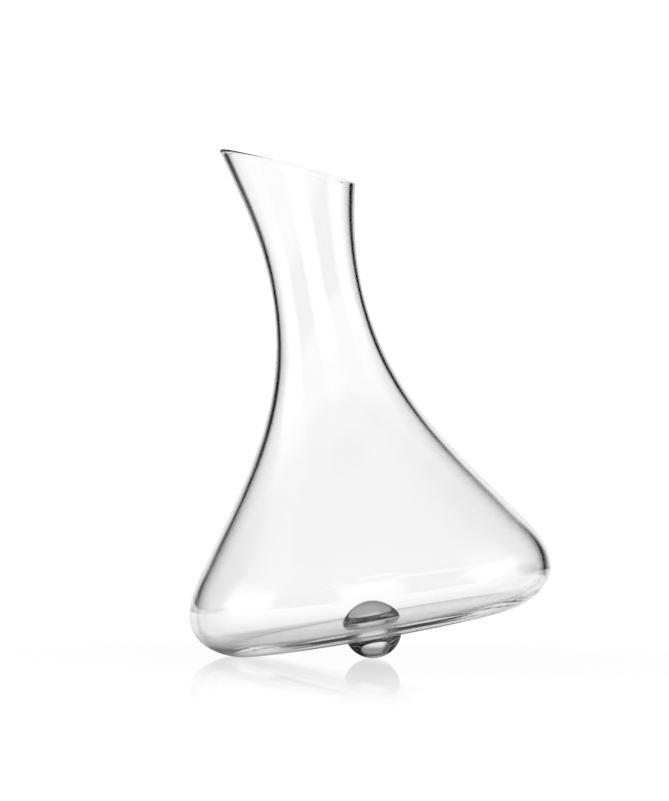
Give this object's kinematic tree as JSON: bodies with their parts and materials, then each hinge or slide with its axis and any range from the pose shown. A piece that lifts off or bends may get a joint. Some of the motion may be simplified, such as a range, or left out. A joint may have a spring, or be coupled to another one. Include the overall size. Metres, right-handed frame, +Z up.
{
  "type": "wine decanter",
  "caption": "Clear glass wine decanter with a wide low belly, slim neck and slanted pouring mouth, leaning on a solid glass ball fused through its base.",
  "frame": {"origin": "the point where the glass ball touches the table", "axes": "+Z up from the table; the vessel leans 11 degrees towards -X, which is also the high side of its slanted mouth; the XZ plane is its mirror plane"},
  "size_m": [0.1848, 0.1876, 0.2597],
  "materials": {
    "vessel_glass": "clear blown glass, fire-polished",
    "ball_glass": "clear solid glass, fire-polished"
  },
  "bodies": {
    "root": {"glass_vessel": "vessel_glass", "base_ball": "ball_glass"}
  },
  "joints": []
}
